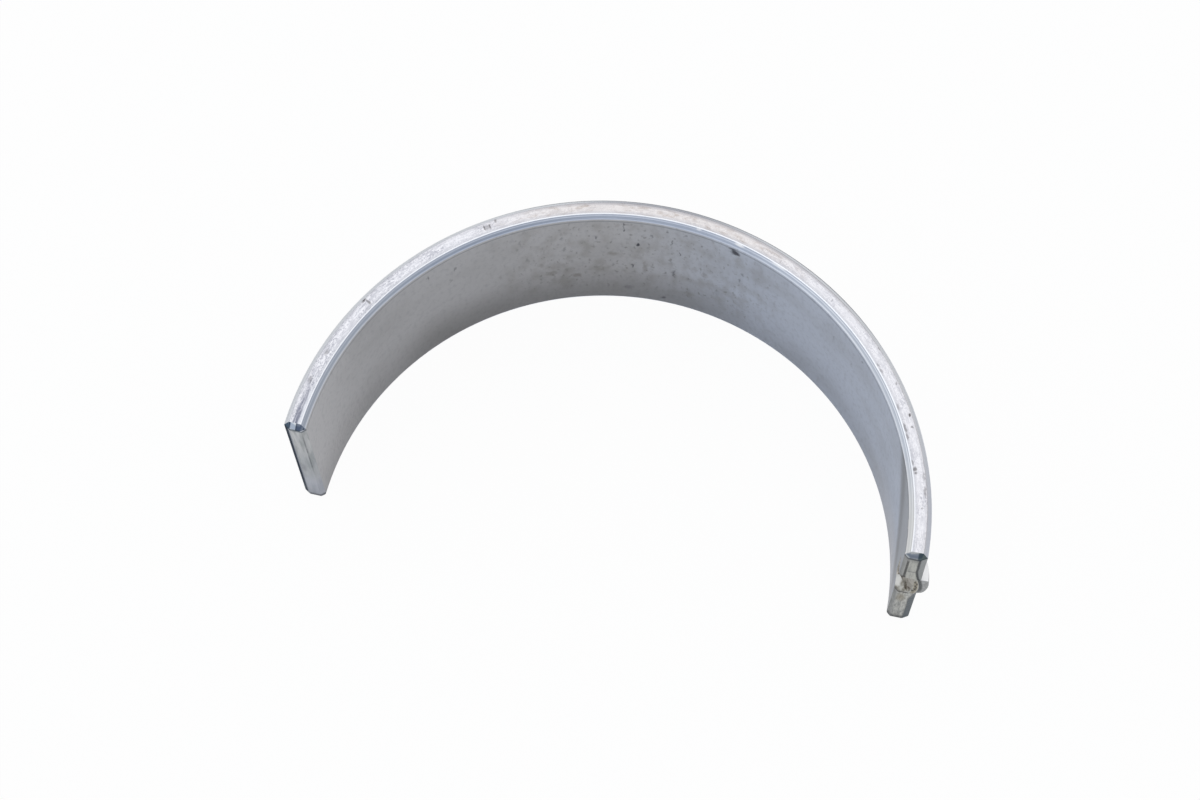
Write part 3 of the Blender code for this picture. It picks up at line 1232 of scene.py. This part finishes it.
def pocket_finish():
    shader, place = new_finish("pocket")
    _, _, height = split(place)
    mottle = grain(place, (2.5, 3, 2.5), 4, 0.4, 0.65)
    colour = coat(RECESS_LIGHT, RECESS_MOTTLE, mottle, 0.6)
    browned = grain(place, (1.6, 2, 1.2), 4, 0.45, 0.62)
    colour = coat(colour, RECESS_BROWN, browned, remap(height, 9.4, 8.2), 0.85)
    dress(shader, colour, mottle, RECESS_DEPTH)


pocket_finish()
print("recess done")

# %% Finish of the corner facets
# Painted reflection in the facets' slate, white, blue and dark colours, and painted shade over
# their lower part.
FACET_WHITE = srgb(252, 255, 255)
FACET_SLATE = srgb(124, 134, 150)
FACET_LINE = srgb(84, 92, 102)
FACET_BLUE = srgb(82, 100, 117)
LUG_FACET = srgb(184, 186, 186)
LUG_FACET_RIDGE = srgb(134, 142, 150)
LUG_FACET_DARK = srgb(96, 108, 111)
FACET_LOWER_SHADE = srgb(60, 70, 80)


def plain_end_facets(depth):
    """Three side by side, in painted reflection: slate beside the bore, white in the middle, blue
    beside the back.
    """
    colour = tint(remap(depth, 0.95, 0.85), FACET_WHITE, FACET_SLATE)
    colour = coat(colour, FACET_LINE, band(depth, 0.86, 0.03, 0.06), 0.6)
    return coat(colour, FACET_BLUE, remap(depth, 1.33, 1.45))


def lug_end_facets(depth, height):
    """Two: a light one with a fine ridge across it, and one beside the back in painted dark
    reflection.
    """
    ridge = band(height, 16.45, 0.04, 0.06)
    colour = coat(LUG_FACET, LUG_FACET_RIDGE, ridge, 0.4)
    return coat(colour, LUG_FACET_DARK, remap(depth, 1.1, 1.25))


def corner_finish():
    shader, place = new_finish("corner")
    along, depth, height = split(place)
    at_lug_end = remap(along, -1, 1)
    plain, lug = plain_end_facets(depth), lug_end_facets(depth, height)
    colour = tint(at_lug_end, plain, lug)
    colour = coat(colour, FACET_LOWER_SHADE, remap(height, 16.37, 16.31), 0.8)
    feed(shader.inputs["Base Color"], colour)
    # The noise reaches only the foot of so wide a ramp, so the facets stay close to a mirror.
    cloudy = grain(place, (3, 3, 3), 2, 0.1, 2)
    feed(shader.inputs["Roughness"], cloudy)


corner_finish()
print("corners done")

# %% [markdown]
# ## The steel back
#
# The back is bare steel, rolled and then pressed against its housing, so it has fine lines along
# the arc, dull polished clouds and a few darker flecks.

# %% Finish of the back
STEEL_GREY = srgb(192, 193, 196)
ROLLED_LINE = srgb(146, 148, 152)
BACK_CLOUD = srgb(166, 165, 164)
BACK_FLECK = srgb(112, 107, 102)
POLISHED_ROUGHNESS = 0.3
CLOUDED_ROUGHNESS = 0.46
ROLLED_DEPTH = 0.006 * MM


def back_finish():
    shader, place = new_finish("back")
    lines = grain(place, (0.1, 1, 9), 3)
    clouds = grain(place, (0.12, 0.1, 0.25), 5, 0.36, 0.72)
    colour = coat(STEEL_GREY, ROLLED_LINE, lines, 0.4)
    colour = coat(colour, BACK_CLOUD, clouds, 0.4)
    flecks = grain(place, (0.9, 2, 1.5), 4, 0.62, 0.76)
    colour = coat(colour, BACK_FLECK, flecks, 0.5)
    roughness = remap(clouds, 0, 1, POLISHED_ROUGHNESS, CLOUDED_ROUGHNESS)
    feed(shader.inputs["Roughness"], roughness)
    dress(shader, colour, lines, ROLLED_DEPTH)


back_finish()
print("back done")

# %% [markdown]
# ## Stage and light
#
# Metal shows what stands around it. A white floor and a pale surround give the shell its even
# grey, a broad soft light overhead makes the rim the brightest face, and a dark slate part of the
# room, low in front, shows in the small corner facets that look that way. The camera itself sees
# plain white past the floor, whatever the metal mirrors.

# %% Floor
FLOOR_HALF = 1.5
FLOOR_WHITE = (0.86, 0.86, 0.86, 1)
FLOOR_ROUGHNESS = 0.9
SEEN_WHITE = 0.96          # share of plain white that the camera sees in the floor
MIRRORED_WHITE = 0.05      # the same for what the metal mirrors


def floor_material():
    """A lit white that keeps the shell's shadow, mixed with some plain white for the camera."""
    material = bpy.data.materials.new("white_floor")
    material.use_nodes = True
    tree = material.node_tree
    shader = tree.nodes["Principled BSDF"]
    shader.inputs["Base Color"].default_value = FLOOR_WHITE
    shader.inputs["Roughness"].default_value = FLOOR_ROUGHNESS
    shader.inputs["Specular IOR Level"].default_value = 0
    glow = add(tree, "Emission")
    paths = add(tree, "LightPath")
    seen = times(paths.outputs["Is Camera Ray"], SEEN_WHITE)
    mirrored = times(paths.outputs["Is Glossy Ray"], MIRRORED_WHITE)
    share = combine("ADD", seen, mirrored)
    mixed = fed("MixShader", share, shader.outputs[0], glow.outputs[0])[0]
    feed(tree.nodes["Material Output"].inputs["Surface"], mixed)
    return material


def make_floor():
    bm = bmesh.new()
    bmesh.ops.create_grid(bm, x_segments=1, y_segments=1, size=FLOOR_HALF)
    floor = as_piece(bm, "floor", [floor_material()])
    bm.free()
    return floor


floor = make_floor()
print("floor", round(floor.dimensions.x, 2), "m wide")

# %% Surround
WINDOW_SIDE = (0.86, 0.89, 0.94, 1)
FAR_SIDE = (0.68, 0.68, 0.69, 1)
DARK_SIDE = (0.37, 0.42, 0.52, 1)
BACKDROP_WHITE = (1, 1, 1, 1)


def room_colour(tree):
    """Bluish on the window side, greyer on the far side, with a slate patch low in front."""
    across, forward, up = split(add(tree, "TexCoord").outputs["Generated"])
    room = tint(remap(across, -0.7, 0.7), WINDOW_SIDE, FAR_SIDE)
    toward_camera = combine("SUBTRACT", forward, times(across, 0.3))
    front = remap(toward_camera, -0.35, -0.6)
    return coat(room, DARK_SIDE, band(up, 0.6, 0.12, 0.1), front)


def make_surround():
    world = bpy.data.worlds.new("studio")
    bpy.context.scene.world = world
    world.use_nodes = True
    tree = world.node_tree
    light = tree.nodes["Background"]
    feed(light.inputs["Color"], room_colour(tree))
    light.inputs["Strength"].default_value = 1
    seen = add(tree, "Background")
    seen.inputs["Color"].default_value = BACKDROP_WHITE
    by_camera = add(tree, "LightPath").outputs["Is Camera Ray"]
    mixed = fed("MixShader", by_camera, light.outputs[0], seen.outputs[0])[0]
    feed(tree.nodes["World Output"].inputs["Surface"], mixed)
    return world


print("surround:", make_surround().name)

# %% Lamp
LAMP_PLACE = Vector((0, 0.14, 0.6))
LAMP_AIM = Vector((0, 0, 0))
LAMP_SIZE = 0.7
LAMP_RADIANCE = 0.3
WATTS_PER_RADIANCE = 4     # for each square metre of a square lamp


def soft_light(name, place, aim, size, radiance):
    """A square lamp whose face is as bright as radiance says at any size."""
    data = bpy.data.lights.new(name, "AREA")
    data.size = size
    data.energy = radiance * WATTS_PER_RADIANCE * size * size
    lamp = bpy.data.objects.new(name, data)
    lamp.location = place
    lamp.rotation_euler = (aim - place).to_track_quat("-Z", "Y").to_euler()
    bpy.context.scene.collection.objects.link(lamp)
    lamp.visible_camera = False


soft_light("overhead", LAMP_PLACE, LAMP_AIM, LAMP_SIZE, LAMP_RADIANCE)
bpy.context.scene.view_settings.view_transform = "Standard"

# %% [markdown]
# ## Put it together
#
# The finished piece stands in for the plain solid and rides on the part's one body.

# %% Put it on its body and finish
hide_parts("bearing_shell")
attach(shell, "root")
